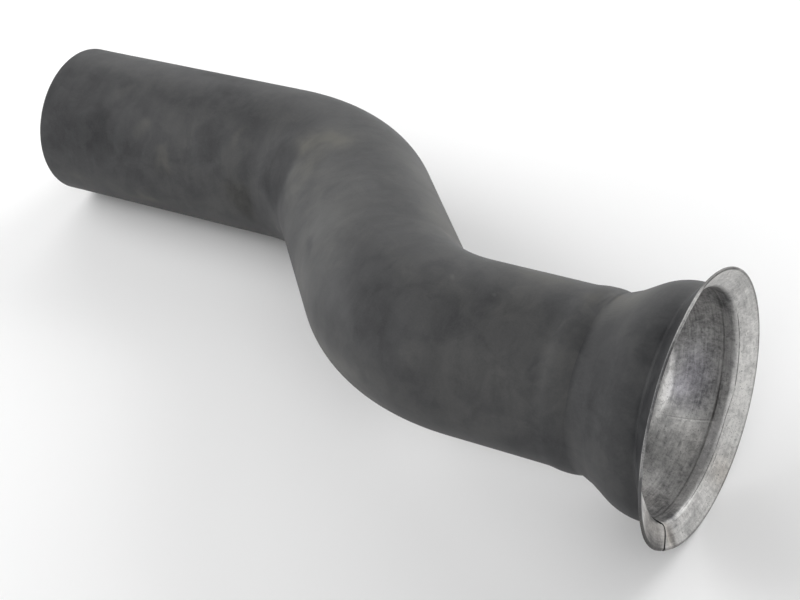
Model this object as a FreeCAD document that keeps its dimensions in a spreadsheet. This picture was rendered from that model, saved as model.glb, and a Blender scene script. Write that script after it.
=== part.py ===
import FreeCAD, Part
import math
import os

import Sketcher

# An exhaust pipe: a steel tube with two opposite bends, and a flared bell welded
# over its near end. It lies on its side, as it comes to rest on a flat floor.
#
# All pieces share one frame. Its origin is the centre of the bell's mouth, +X points
# out of the mouth, and both bends lie in its XY plane. The placement then rolls the
# pipe about X until the lip and the far straight both touch the floor.

# Driving sizes, in millimetres and degrees
SIZES = {
    # Bent tube
    "tube_diameter": 127.0,
    "tube_wall": 2.0,
    "bend_radius": 130.0,
    "bend_angle": 47.5,
    "far_length": 222.0,
    "middle_length": 140.0,
    "near_length": 105.5,
    "swell_height": 1.3,
    "crest_radius": 50.0,
    "blend_radius": 50.0,
    # Flared bell
    "bell_wall": 2.0,
    "flare_height": 20.45,
    "barrel_length": 8.7,
    "lip_height": 14.7,
    "lip_angle": 55.0,
    "lip_fold_radius": 1.0,
    "shoulder_radius": 45.0,
    "cone_angle": 30.0,
    "neck_radius": 4.0,
    "spigot_length": 20.0,
    "spigot_clearance": 0.15,
    # Split in the lip
    "split_width": 1.0,
    "split_angle": -121.0,
    "split_turn_radius": 6.0,
    "split_run": 8.0,
    # Weld at the neck
    "weld_gap": 0.9,
    "weld_toe_drop": 0.2,
    "weld_leg": 3.5,
    "weld_face_radius": 6.0,
}

# Sizes that follow from the driving ones
DERIVED = {
    "tube_radius": "tube_diameter / 2",
    # The barrel stands out from the spigot by the height of the flare
    "spigot_radius": "tube_radius - tube_wall - spigot_clearance",
    "barrel_radius": "spigot_radius + flare_height",
    # The lip rises from the barrel's bore, and the barrel runs on behind it
    "mouth_radius": "barrel_radius - bell_wall + lip_height",
    "rim_radius": "mouth_radius + bell_wall * cos(lip_angle)",
    "lip_depth": "lip_height / tan(lip_angle)",
    "shoulder_depth": "lip_depth + barrel_length",
    # Where the cone meets the neck's arc, and how deep the bell is up to its spigot
    "cone_foot_radius": "spigot_radius + neck_radius * (1 - cos(cone_angle))",
    "cone_top_radius": "barrel_radius - shoulder_radius * (1 - cos(cone_angle))",
    "cone_top_depth": "shoulder_depth + shoulder_radius * sin(cone_angle)",
    "cone_foot_depth": "cone_top_depth + (cone_top_radius - cone_foot_radius) / tan(cone_angle)",
    "bell_depth": "cone_foot_depth + neck_radius * sin(cone_angle)",
    # The tube's swollen end
    "tube_end_depth": "bell_depth + weld_gap",
    "crest_setback": "sqrt(swell_height * (2 * crest_radius - swell_height))",
    "swell_run": "sqrt(swell_height * (2 * crest_radius + 2 * blend_radius - swell_height))",
    "swell_start_depth": "tube_end_depth + crest_setback + swell_run",
    "bend_start_depth": "tube_end_depth + near_length",
    # How far the two ends are offset, and the size of the whole pipe
    "offset": "2 * bend_radius * (1 - cos(bend_angle)) + middle_length * sin(bend_angle)",
    "reach": "bend_start_depth + 2 * bend_radius * sin(bend_angle)"
    " + middle_length * cos(bend_angle) + far_length",
    "rest_roll": "asin((rim_radius - tube_radius) / offset)",
    "rest_width_low": "-rim_radius",
    "rest_width_high": "offset * cos(rest_roll) + tube_radius",
}

doc = FreeCAD.newDocument("exhaust_pipe")
sheet = doc.addObject("Spreadsheet::Sheet", "Sizes")
for row, (alias, value) in enumerate(SIZES.items(), start=1):
    sheet.set(f"A{row}", str(value))
    sheet.setAlias(f"A{row}", alias)
for row, (alias, formula) in enumerate(DERIVED.items(), start=1):
    sheet.set(f"B{row}", "=" + formula)
    sheet.setAlias(f"B{row}", alias)
doc.recompute()


def size(alias):
    """A size from the sheet as a plain number, in millimetres or degrees."""
    value = sheet.get(alias)
    return float(getattr(value, "Value", value))


def polar(length, degrees):
    """The point at that length and angle from the origin."""
    angle = math.radians(degrees)
    return FreeCAD.Vector(length * math.cos(angle), length * math.sin(angle), 0)


def new_body(label):
    """An empty body that lies at rest with the others."""
    body = doc.addObject("PartDesign::Body", label)
    body.Label = label
    body.Placement = FreeCAD.Placement(
        FreeCAD.Vector(0, 0, 0), FreeCAD.Rotation(FreeCAD.Vector(1, 0, 0), 1)
    )
    body.setExpression("Placement.Rotation.Angle", "-Sizes.rest_roll")
    body.setExpression("Placement.Base.x", "Sizes.reach / 2")
    body.setExpression(
        "Placement.Base.y", "-(Sizes.rest_width_low + Sizes.rest_width_high) / 2"
    )
    body.setExpression("Placement.Base.z", "Sizes.rim_radius")
    return body


def origin_feature(body, role):
    """One of the body's own origin planes or axes."""
    return next(f for f in body.Origin.OriginFeatures if f.Role == role)


def new_sketch(body, name, plane):
    """A sketch on one of the body's own origin planes."""
    sketch = body.newObject("Sketcher::SketchObject", name)
    sketch.AttachmentSupport = [(origin_feature(body, plane), "")]
    sketch.MapMode = "FlatFace"
    return sketch


def line(sketch, start, end):
    return sketch.addGeometry(Part.LineSegment(start, end))


def arc(sketch, centre, start, end):
    """The arc from start to end that turns the short way round its centre."""
    first = math.atan2(start.y - centre.y, start.x - centre.x)
    last = math.atan2(end.y - centre.y, end.x - centre.x)
    turn = (last - first) % (2 * math.pi)
    counterclockwise = turn <= math.pi
    if not counterclockwise:
        first, last = last, first
    circle = Part.Circle(centre, FreeCAD.Vector(0, 0, 1), (start - centre).Length)
    index = sketch.addGeometry(Part.ArcOfCircle(circle, first, last))
    return index, counterclockwise


class Outline:
    """A chain of straight runs through given corners, with arcs in the corners that have a radius.

    Runs meet their arcs tangentially. start(i) and end(i) name the ends of the run that
    leaves corner i, in the sketch's own way of naming points."""

    def __init__(self, sketch, corners, closed=True):
        self.sketch = sketch
        self.runs, self.arcs, self.closed = {}, {}, closed
        points = [FreeCAD.Vector(x, y, 0) for x, y, radius in corners]
        count = len(corners)
        entry, leave = list(points), list(points)
        middles = {}
        for i, (x, y, radius) in enumerate(corners):
            if not radius:
                continue
            back = (points[i - 1] - points[i]).normalize()
            ahead = (points[(i + 1) % count] - points[i]).normalize()
            half = back.getAngle(ahead) / 2
            entry[i] = points[i] + back * (radius / math.tan(half))
            leave[i] = points[i] + ahead * (radius / math.tan(half))
            middles[i] = points[i] + (back + ahead).normalize() * (radius / math.sin(half))
        last_run = count if closed else count - 1
        for i in range(last_run):
            self.runs[i] = line(sketch, leave[i], entry[(i + 1) % count])
        for i, middle in middles.items():
            self.arcs[i], forward = arc(sketch, middle, entry[i], leave[i])
            near, far = (1, 2) if forward else (2, 1)
            self._join("Tangent", self.runs[(i - 1) % count], 2, self.arcs[i], near)
            self._join("Tangent", self.arcs[i], far, self.runs[i], 1)
        for i in range(count):
            before = (i - 1) % count
            if i in middles or before not in self.runs or i not in self.runs:
                continue
            self._join("Coincident", self.runs[before], 2, self.runs[i], 1)

    def _join(self, kind, first, first_end, second, second_end):
        self.sketch.addConstraint(
            Sketcher.Constraint(kind, first, first_end, second, second_end)
        )

    def level(self, *corners):
        for i in corners:
            self.sketch.addConstraint(Sketcher.Constraint("Horizontal", self.runs[i]))

    def upright(self, *corners):
        for i in corners:
            self.sketch.addConstraint(Sketcher.Constraint("Vertical", self.runs[i]))

    def parallel(self, first, second):
        self.sketch.addConstraint(
            Sketcher.Constraint("Parallel", self.runs[first], self.runs[second])
        )

    def square(self, first, second):
        self.sketch.addConstraint(
            Sketcher.Constraint("Perpendicular", self.runs[first], self.runs[second])
        )

    def at_x(self, corner, formula, end=1):
        self._place("DistanceX", self.runs[corner], end, formula)

    def at_y(self, corner, formula, end=1):
        self._place("DistanceY", self.runs[corner], end, formula)

    def centre_x(self, corner, formula):
        self._place("DistanceX", self.arcs[corner], 3, formula)

    def _place(self, kind, geometry, point, formula):
        """The distance of a point from the sketch's origin, along one axis."""
        name = f"{kind}_{geometry}_{point}"
        held = self.sketch.getPoint(geometry, point)
        now = held.x if kind == "DistanceX" else held.y
        drive(self.sketch, (kind, -1, 1, geometry, point, now), name, formula)

    def radius(self, corner, formula):
        geometry = self.arcs[corner]
        now = self.sketch.Geometry[geometry].Radius
        drive(self.sketch, ("Radius", geometry, now), f"radius_{corner}", formula)

    def length(self, corner, formula):
        geometry = self.runs[corner]
        now = self.sketch.Geometry[geometry].length()
        drive(self.sketch, ("Distance", geometry, now), f"length_{corner}", formula)


def drive(sketch, constraint, name, formula):
    """A dimension of the sketch that follows the sheet."""
    index = sketch.addConstraint(Sketcher.Constraint(*constraint))
    sketch.renameConstraint(index, name)
    sketch.setExpression(f"Constraints.{name}", formula)


def slope(sketch, run, start, formula):
    """The angle of a run, measured at its start from the X axis."""
    line_now = sketch.Geometry[run]
    along = line_now.EndPoint - line_now.StartPoint
    now = math.atan2(along.y, along.x)
    constraint = ("Angle", -1, 1, run, start, now)
    drive(sketch, constraint, f"slope_{run}", formula)


def revolve(body, name, sketch):
    """Turns a section once round the bell's axis."""
    turned = body.newObject("PartDesign::Revolution", name)
    turned.Profile = sketch
    turned.ReferenceAxis = (origin_feature(body, "X_Axis"), [""])
    turned.Angle = 360
    return turned


def bent_tube():
    """The tube, swept as a ring along its bends, with the swollen end turned on."""
    body = new_body("bent_tube")
    radius, wall = size("tube_radius"), size("tube_wall")
    angle = size("bend_angle")

    ring = new_sketch(body, "tube_ring", "YZ_Plane")
    ring.setExpression("AttachmentOffset.Base.z", "-Sizes.swell_start_depth")
    for name, now, formula in (
        ("outside", radius, "Sizes.tube_radius"),
        ("bore", radius - wall, "Sizes.tube_radius - Sizes.tube_wall"),
    ):
        centre = FreeCAD.Vector(0, 0, 0)
        index = ring.addGeometry(Part.Circle(centre, FreeCAD.Vector(0, 0, 1), now))
        ring.addConstraint(Sketcher.Constraint("Coincident", index, 3, -1, 1))
        drive(ring, ("Radius", index, now), name, formula)

    path = new_sketch(body, "tube_path", "XY_Plane")
    bend = size("bend_radius")
    corner_run = bend * math.tan(math.radians(angle / 2))
    first = FreeCAD.Vector(-size("bend_start_depth") - corner_run, 0, 0)
    second = first + polar(2 * corner_run + size("middle_length"), 180 - angle)
    end = second + polar(corner_run + size("far_length"), 180)
    route = Outline(
        path,
        [
            (-size("swell_start_depth"), 0, 0),
            (first.x, first.y, bend),
            (second.x, second.y, bend),
            (end.x, end.y, 0),
        ],
        closed=False,
    )
    route.level(0, 2)
    route.at_x(0, "-Sizes.swell_start_depth")
    path.addConstraint(Sketcher.Constraint("PointOnObject", route.runs[0], 1, -1))
    route.centre_x(1, "-Sizes.bend_start_depth")
    route.radius(1, "Sizes.bend_radius")
    route.radius(2, "Sizes.bend_radius")
    slope(path, route.runs[1], 1, "180 deg - Sizes.bend_angle * 1 deg")
    route.length(1, "Sizes.middle_length")
    route.length(2, "Sizes.far_length")

    pipe = body.newObject("PartDesign::AdditivePipe", "tube_run")
    pipe.Profile = ring
    pipe.Spine = (path, [])

    # The swollen end, from where it leaves the plain tube to its cut face
    section = new_sketch(body, "swell_section", "XY_Plane")
    crest_x = -(size("tube_end_depth") + size("crest_setback"))
    start_x = -size("swell_start_depth")
    end_x = -size("tube_end_depth")
    crest, blend = size("crest_radius"), size("blend_radius")
    crest_centre = FreeCAD.Vector(crest_x, radius + size("swell_height") - crest, 0)
    blend_centre = FreeCAD.Vector(start_x, radius + blend, 0)
    toward = (blend_centre - crest_centre).normalize()

    def at_end(crest_radius):
        rise = math.sqrt(crest_radius**2 - (end_x - crest_x) ** 2)
        return FreeCAD.Vector(end_x, crest_centre.y + rise, 0)

    edges = []
    for inset in (0, wall):
        turn = crest_centre + toward * (crest - inset)
        start = FreeCAD.Vector(start_x, radius - inset, 0)
        blend_arc, forward = arc(section, blend_centre, start, turn)
        crest_arc, onward = arc(section, crest_centre, turn, at_end(crest - inset))
        edges.append((blend_arc, forward, crest_arc, onward))
        section.addConstraint(
            Sketcher.Constraint(
                "Tangent", blend_arc, 2 if forward else 1, crest_arc, 1 if onward else 2
            )
        )
    (blend_out, forward, crest_out, onward), (blend_in, _, crest_in, _) = edges
    blend_first = 1 if forward else 2
    crest_last = 2 if onward else 1
    cut = line(section, at_end(crest), at_end(crest - wall))
    base = line(
        section,
        FreeCAD.Vector(start_x, radius - wall, 0),
        FreeCAD.Vector(start_x, radius, 0),
    )
    for geometry, point, other, other_point in (
        (crest_out, crest_last, cut, 1),
        (crest_in, crest_last, cut, 2),
        (blend_in, blend_first, base, 1),
        (blend_out, blend_first, base, 2),
        (blend_out, 3, blend_in, 3),
        (crest_out, 3, crest_in, 3),
    ):
        section.addConstraint(
            Sketcher.Constraint("Coincident", geometry, point, other, other_point)
        )
    section.addConstraint(Sketcher.Constraint("Vertical", cut))
    section.addConstraint(Sketcher.Constraint("Vertical", base))
    sizes = (
        (("Radius", blend_out, blend), "blend", "Sizes.blend_radius"),
        (("Radius", crest_out, crest), "crest", "Sizes.crest_radius"),
        (
            ("Radius", crest_in, crest - wall),
            "crest_bore",
            "Sizes.crest_radius - Sizes.tube_wall",
        ),
        (("DistanceX", -1, 1, base, 2, start_x), "start", "-Sizes.swell_start_depth"),
        (("DistanceX", -1, 1, cut, 1, end_x), "end", "-Sizes.tube_end_depth"),
        (("DistanceY", -1, 1, base, 2, radius), "outside", "Sizes.tube_radius"),
        (
            ("DistanceX", -1, 1, blend_out, 3, start_x),
            "blend_centre",
            "-Sizes.swell_start_depth",
        ),
        (
            ("DistanceX", -1, 1, crest_out, 3, crest_x),
            "crest_centre",
            "-(Sizes.tube_end_depth + Sizes.crest_setback)",
        ),
    )
    for constraint, name, formula in sizes:
        drive(section, constraint, name, formula)
    revolve(body, "swollen_end", section)
    return body


def flare_bell():
    """The bell: one sheet from the spigot inside the tube to the lip of the mouth."""
    body = new_body("flare_bell")
    wall = size("bell_wall")
    lip, cone = size("lip_angle"), size("cone_angle")
    barrel, mouth = size("barrel_radius"), size("mouth_radius")
    spigot = size("spigot_radius")
    shoulder, neck = size("shoulder_radius"), size("neck_radius")
    fold = size("lip_fold_radius")
    spigot_end = -(size("bell_depth") + size("spigot_length"))

    section = new_sketch(body, "bell_section", "XY_Plane")
    # Corners of the outer surface and of the bore, before the arcs are put in them
    shoulder_x = -size("shoulder_depth") - shoulder * math.tan(math.radians(cone / 2))
    neck_x = -size("bell_depth") + neck * math.tan(math.radians(cone / 2))
    lip_x = -size("lip_depth")
    across = polar(wall, lip + 90)
    lip_back = lip_x - wall * math.tan(math.radians(lip / 2))
    bore_step = wall * math.tan(math.radians(cone / 2))
    outline = Outline(
        section,
        [
            (0, mouth, 0),
            (across.x, mouth + across.y, 0),
            (lip_back, barrel, fold),
            (shoulder_x, barrel, shoulder),
            (neck_x, spigot, neck),
            (spigot_end, spigot, 0),
            (spigot_end, spigot - wall, 0),
            (neck_x + bore_step, spigot - wall, neck + wall),
            (shoulder_x + bore_step, barrel - wall, shoulder - wall),
            (lip_x, barrel - wall, fold + wall),
        ],
    )
    outline.level(2, 4, 6, 8)
    outline.upright(5)
    outline.square(0, 1)
    outline.square(0, 9)
    outline.parallel(3, 7)
    outline.at_x(0, "0 mm")
    outline.at_y(0, "Sizes.mouth_radius")
    outline.length(0, "Sizes.bell_wall")
    outline.at_y(2, "Sizes.barrel_radius")
    outline.at_y(8, "Sizes.barrel_radius - Sizes.bell_wall")
    outline.centre_x(3, "-Sizes.shoulder_depth")
    outline.centre_x(8, "-Sizes.shoulder_depth")
    outline.radius(2, "Sizes.lip_fold_radius")
    outline.radius(9, "Sizes.lip_fold_radius + Sizes.bell_wall")
    outline.radius(3, "Sizes.shoulder_radius")
    outline.radius(8, "Sizes.shoulder_radius - Sizes.bell_wall")
    outline.radius(4, "Sizes.neck_radius")
    outline.radius(7, "Sizes.neck_radius + Sizes.bell_wall")
    outline.at_y(4, "Sizes.spigot_radius")
    outline.at_y(6, "Sizes.spigot_radius - Sizes.bell_wall")
    outline.at_x(5, "-(Sizes.bell_depth + Sizes.spigot_length)")
    slope(section, outline.runs[9], 1, "Sizes.lip_angle * 1 deg")
    slope(section, outline.runs[3], 1, "Sizes.cone_angle * 1 deg - 180 deg")
    revolve(body, "bell_sheet", section)

    # The split: straight in from the rim, then round a corner along the root of the lip
    split = new_sketch(body, "lip_split_outline", "YZ_Plane")
    split.AttachmentOffset = FreeCAD.Placement(
        FreeCAD.Vector(0, 0, 0), FreeCAD.Rotation(FreeCAD.Vector(0, 0, 1), 1)
    )
    split.setExpression("AttachmentOffset.Rotation.Angle", "Sizes.split_angle * 1 deg")
    half = size("split_width") / 2
    turn = size("split_turn_radius")
    root = barrel - wall + half
    beyond = size("rim_radius") + wall
    low = -(turn + size("split_run"))
    slit = Outline(
        split,
        [
            (beyond, half, 0),
            (root - half, half, turn + half),
            (root - half, low, 0),
            (root + half, low, 0),
            (root + half, -half, turn - half),
            (beyond, -half, 0),
        ],
    )
    slit.level(0, 2, 4)
    slit.upright(1, 3, 5)
    slit.at_x(0, "Sizes.rim_radius + Sizes.bell_wall")
    slit.at_y(0, "Sizes.split_width / 2")
    slit.at_y(4, "-Sizes.split_width / 2")
    slit.at_x(1, "Sizes.barrel_radius - Sizes.bell_wall")
    slit.at_x(3, "Sizes.barrel_radius - Sizes.bell_wall + Sizes.split_width")
    slit.at_y(2, "-(Sizes.split_turn_radius + Sizes.split_run)")
    slit.radius(1, "Sizes.split_turn_radius + Sizes.split_width / 2")
    slit.radius(4, "Sizes.split_turn_radius - Sizes.split_width / 2")
    cut = body.newObject("PartDesign::Pocket", "lip_split")
    cut.Profile = split
    cut.Type = "Length"
    cut.Length = 1
    cut.setExpression("Length", "Sizes.lip_depth + Sizes.bell_wall")
    return body


def neck_weld():
    """The bead in the notch between the tube's cut end and the bell's cone."""
    body = new_body("neck_weld")
    section = new_sketch(body, "weld_section", "XY_Plane")
    lean = math.radians(size("cone_angle"))
    spigot = size("spigot_radius")
    foot = FreeCAD.Vector(-size("cone_foot_depth"), size("cone_foot_radius"), 0)
    leg = size("weld_leg")
    toe_high = foot + FreeCAD.Vector(leg * math.cos(lean), leg * math.sin(lean), 0)
    tube_face = -size("tube_end_depth")
    toe_low = FreeCAD.Vector(tube_face, size("tube_radius") - size("weld_toe_drop"), 0)
    root = FreeCAD.Vector(tube_face, spigot, 0)
    neck_end = FreeCAD.Vector(-size("bell_depth"), spigot, 0)
    neck_centre = neck_end + FreeCAD.Vector(0, size("neck_radius"), 0)
    middle = (toe_high + toe_low) * 0.5
    chord = toe_high - toe_low
    away = FreeCAD.Vector(-chord.y, chord.x, 0).normalize()
    face_radius = size("weld_face_radius")
    rise = math.sqrt(face_radius**2 - (chord.Length / 2) ** 2)
    face_centre = middle + away * rise

    spigot_edge = line(section, neck_end, root)
    tube_edge = line(section, root, toe_low)
    face, face_on = arc(section, face_centre, toe_low, toe_high)
    cone_edge = line(section, toe_high, foot)
    neck_arc, neck_on = arc(section, neck_centre, foot, neck_end)
    ends = (
        (spigot_edge, 2, tube_edge, 1),
        (tube_edge, 2, face, 1 if face_on else 2),
        (face, 2 if face_on else 1, cone_edge, 1),
        (cone_edge, 2, neck_arc, 1 if neck_on else 2),
        (neck_arc, 2 if neck_on else 1, spigot_edge, 1),
    )
    for joint in ends:
        section.addConstraint(Sketcher.Constraint("Coincident", *joint))
    leg_x = "Sizes.weld_leg * cos(Sizes.cone_angle)"
    leg_y = "Sizes.weld_leg * sin(Sizes.cone_angle)"
    places = (
        (spigot_edge, 1, neck_end, "-Sizes.bell_depth", "Sizes.spigot_radius"),
        (tube_edge, 1, root, "-Sizes.tube_end_depth", "Sizes.spigot_radius"),
        (
            tube_edge,
            2,
            toe_low,
            "-Sizes.tube_end_depth",
            "Sizes.tube_radius - Sizes.weld_toe_drop",
        ),
        (
            cone_edge,
            1,
            toe_high,
            f"{leg_x} - Sizes.cone_foot_depth",
            f"Sizes.cone_foot_radius + {leg_y}",
        ),
        (cone_edge, 2, foot, "-Sizes.cone_foot_depth", "Sizes.cone_foot_radius"),
    )
    for number, (geometry, end, point, along, up) in enumerate(places):
        drive(
            section, ("DistanceX", -1, 1, geometry, end, point.x), f"along_{number}", along
        )
        drive(section, ("DistanceY", -1, 1, geometry, end, point.y), f"up_{number}", up)
    drive(section, ("Radius", face, face_radius), "face_arc", "Sizes.weld_face_radius")
    drive(
        section, ("Radius", neck_arc, size("neck_radius")), "neck_arc", "Sizes.neck_radius"
    )
    revolve(body, "weld_bead", section)
    return body


bodies = [bent_tube(), flare_bell(), neck_weld()]
doc.recompute()

for item in doc.Objects:
    if "Invalid" in item.State or "Error" in item.State:
        raise RuntimeError(f"{item.Label} did not build: {item.State}")
for body in bodies:
    if body.Shape.isNull() or not body.Shape.isValid():
        raise RuntimeError(f"{body.Label} has no valid shape")

os.makedirs("parts", exist_ok=True)
for body in bodies:
    body.Shape.exportStep(f"parts/{body.Label}.step")
    box = body.Shape.BoundBox
    print(
        f"{body.Label}: {len(body.Shape.Solids)} solid, {body.Shape.Volume / 1000:.1f} cm3,"
        f" x {box.XMin:.1f} to {box.XMax:.1f}, y {box.YMin:.1f} to {box.YMax:.1f},"
        f" z {box.ZMin:.2f} to {box.ZMax:.1f}"
    )
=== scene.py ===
"""An exhaust pipe on a pale floor: a dark coated steel tube with two bends, and a
flared bell that is bare metal inside. Sizes are in millimetres in the pipe's own
frame: the mouth's centre is the origin, +X points out of the mouth and both bends
lie in the XY plane. rest() turns them into metres in the row's frame."""

import math

import bpy
import numpy as np
from mathutils import Matrix, Vector, noise


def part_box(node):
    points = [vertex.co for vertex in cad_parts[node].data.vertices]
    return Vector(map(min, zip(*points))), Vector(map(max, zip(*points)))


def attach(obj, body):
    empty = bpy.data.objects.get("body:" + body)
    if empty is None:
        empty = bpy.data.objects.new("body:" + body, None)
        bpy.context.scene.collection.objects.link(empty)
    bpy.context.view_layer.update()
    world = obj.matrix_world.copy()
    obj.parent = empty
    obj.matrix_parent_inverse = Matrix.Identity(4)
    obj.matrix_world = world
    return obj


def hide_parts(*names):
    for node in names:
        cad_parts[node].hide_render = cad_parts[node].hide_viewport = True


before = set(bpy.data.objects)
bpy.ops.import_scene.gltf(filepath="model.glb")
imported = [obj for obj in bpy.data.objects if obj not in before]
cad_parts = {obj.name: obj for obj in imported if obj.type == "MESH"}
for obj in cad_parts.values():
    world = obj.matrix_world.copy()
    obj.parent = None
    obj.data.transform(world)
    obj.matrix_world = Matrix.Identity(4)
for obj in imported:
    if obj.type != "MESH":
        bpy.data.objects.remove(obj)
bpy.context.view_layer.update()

MM = 0.001

# Tube
TUBE_RADIUS = 63.5
WALL = 2.0
BEND_RADIUS = 130.0
BEND_ANGLE = math.radians(47.5)
FAR_LENGTH = 222.0
MIDDLE_LENGTH = 140.0
NEAR_LENGTH = 105.5
SWELL_HEIGHT = 1.3
SWELL_RADIUS = 50.0
CUT_EDGE = 0.35
CUT_ROUNDING = 0.3

# Bell
SPIGOT_RADIUS = TUBE_RADIUS - WALL - 0.15
BARREL_RADIUS = SPIGOT_RADIUS + 20.45
BARREL_LENGTH = 8.7
LIP_HEIGHT = 14.7
LIP_ANGLE = math.radians(55.0)
LIP_FOLD = 3.5
SHOULDER_RADIUS = 45.0
CONE_ANGLE = math.radians(30.0)
NECK_RADIUS = 4.0
SPIGOT_LENGTH = 20.0
CREASE_DEPTH = 0.2
CREASE_WIDTH = 2.0
CREASE_FADE = 0.5

# The crease across the throat: shares of its width and of its depth
CREASE_LINE = ((0.35, 0.75), (0.60, 1.0), (0.85, 0.6), (1.0, 0.12))

# Split in the lip: radius and angle along it, from outside the rim to its end
SPLIT_WIDTH = 0.9
SPLIT_MOUTH_SHARE = 1.4
SPLIT_TIP_SHARE = 0.3
SPLIT_BLADE_FRONT = 4.0
SPLIT_LINE = (
    (99.6, -127.0),
    (95.2, -125.6),
    (91.3, -123.8),
    (87.1, -121.6),
    (84.5, -120.4),
    (82.8, -120.2),
    (81.4, -121.0),
    (80.8, -122.6),
    (80.8, -126.0),
    (80.8, -134.0),
    (80.8, -142.0),
)
SPLIT_TIP = -142.0

# Tongue beside the split: at each angle, how far the lip's root is bent forward and
# inward, and its rim back and outward
TONGUE = (
    (-210.0, 0.0, 0.0, 0.0, 0.0),
    (-180.0, 1.1, 0.8, 0.2, 0.1),
    (-165.0, 2.5, 2.0, 0.7, 0.6),
    (-155.0, 3.1, 2.6, 1.4, 1.3),
    (-145.0, 2.8, 2.4, 2.2, 2.0),
    (-131.0, 2.3, 2.8, 2.2, 1.9),
    (-121.0, 0.9, 0.9, 0.9, 0.7),
    (-112.0, 0.0, 0.0, 0.0, 0.0),
)
TONGUE_FADE = 9.0
TONGUE_DROP = 0.5
TONGUE_DROP_ARC = 14.0
TONGUE_BLUR = 5.0

# How far the rim leans forward and stands outward, at each angle round it
RIM_LEAN = (
    (-270.0, 1.3, 1.1),
    (-260.0, 1.9, 0.5),
    (-248.0, 2.4, 0.0),
    (-210.0, 2.2, 0.0),
    (-185.0, 1.3, 0.0),
    (-165.0, 0.3, 0.0),
    (-150.0, 0.0, 0.0),
    (-70.0, 0.0, 0.0),
    (-30.0, 0.5, 0.0),
    (30.0, 1.0, 0.1),
    (60.0, 1.4, 0.5),
    (75.0, 1.5, 0.9),
    (90.0, 1.3, 1.1),
)

# Weld
WELD_GAP = 0.9
WELD_OVERLAP = 1.0
WELD_LEG = 15.0
WELD_BULGE = 0.6
WELD_HANDLE = 0.3
WELD_EDGE_SINK = 0.05
WELD_UNDERCUT = 0.3
WELD_ROOT_SHARE = 0.6
WELD_RIPPLES = 130
WELD_RIPPLE_HEIGHT = 0.05
WELD_RIPPLE_WANDER = (11, 1.3)

# Fineness of the meshes: points round each piece, and rings along the tube
AROUND_TUBE = 192
AROUND_BELL = 320
AROUND_WELD = 480
WELD_FACE_POINTS = 15
TUBE_RINGS = 400
BORE_RINGS = 60
MOUTH_STRETCH = 20.0
MOUTH_RINGS = 40
BORE_MOUTH_STRETCH = 30.0
BORE_MOUTH_RINGS = 8
SHARP_ANGLE = math.radians(38.0)

# Random wander of the surfaces and of the marks: its seed, its size and its height
TUBE_UNEVENNESS = (3.7, 60.0, 0.09)
UNEVENNESS_FADE = 12.0
TUBE_MARK_SHIFTS = ((11.0, 26.0, 9.0), (17.0, 9.0, 4.0))
TUBE_MARK_TWISTS = ((23.0, 26.0, 8.0), (29.0, 9.0, 4.0))
BELL_MARK_SHIFT = (31.0, 22.0, 5.0)
BELL_MARK_TWIST = (37.0, 22.0, 6.0)
BELL_MARK_FREEDOM = 1.0
INNER_MARK_FREEDOM = 0.35
FREE_MARK_LENGTH = 12.0

# Places that follow from them
LIP_DEPTH = LIP_HEIGHT / math.tan(LIP_ANGLE)
THROAT_RADIUS = BARREL_RADIUS - WALL
MOUTH_RADIUS = THROAT_RADIUS + LIP_HEIGHT
RIM_RADIUS = MOUTH_RADIUS + WALL * math.cos(LIP_ANGLE)
SHOULDER_DEPTH = LIP_DEPTH + BARREL_LENGTH
FOOT_RADIUS = SPIGOT_RADIUS + NECK_RADIUS * (1 - math.cos(CONE_ANGLE))
TOP_RADIUS = BARREL_RADIUS - SHOULDER_RADIUS * (1 - math.cos(CONE_ANGLE))
TOP_DEPTH = SHOULDER_DEPTH + SHOULDER_RADIUS * math.sin(CONE_ANGLE)
FOOT_DEPTH = TOP_DEPTH + (TOP_RADIUS - FOOT_RADIUS) / math.tan(CONE_ANGLE)
BELL_DEPTH = FOOT_DEPTH + NECK_RADIUS * math.sin(CONE_ANGLE)
TUBE_END = BELL_DEPTH + WELD_GAP
CREST_BACK = math.sqrt(SWELL_HEIGHT * (2 * SWELL_RADIUS - SWELL_HEIGHT))
SWELL_RUN = math.sqrt(SWELL_HEIGHT * (4 * SWELL_RADIUS - SWELL_HEIGHT))
OFFSET = 2 * BEND_RADIUS * (1 - math.cos(BEND_ANGLE)) + MIDDLE_LENGTH * math.sin(
    BEND_ANGLE
)
REST_ROLL = math.asin((RIM_RADIUS - TUBE_RADIUS) / OFFSET)

# Stretches of the tube's centreline, from its swollen end
BEND_RUN = BEND_RADIUS * BEND_ANGLE
STRETCHES = (NEAR_LENGTH, BEND_RUN, MIDDLE_LENGTH, BEND_RUN, FAR_LENGTH)
TUBE_RUN = sum(STRETCHES)


def resting_place():
    """The pipe's own frame, in millimetres, as it lies in the row's, in metres."""
    low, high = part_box("flare_bell")
    mouth = Vector((high.x, (low.y + high.y) / 2, (low.z + high.z) / 2))
    roll = Matrix.Rotation(-REST_ROLL, 4, "X")
    return Matrix.Translation(mouth) @ roll @ Matrix.Scale(MM, 4)


REST = resting_place()


def rest(points):
    """Points of the pipe's own frame as they lie in the row's frame."""
    turn = np.array(REST.to_3x3())
    return np.asarray(points, float) @ turn.T + np.array(REST.translation)


def own(points):
    """Points of the row's frame in the pipe's own frame."""
    back = np.array(REST.to_3x3().inverted())
    return (np.asarray(points, float) - np.array(REST.translation)) @ back.T


# Marks on the surfaces: the coating's and the steel's own patches of tone and warmth,
# with painted shade and painted highlights among them where the lamps alone fall short.
# Each has its place along the pipe and round it in degrees, half its size along and
# round it in millimetres, its tone, its warmth, and how crisp it is.

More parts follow.
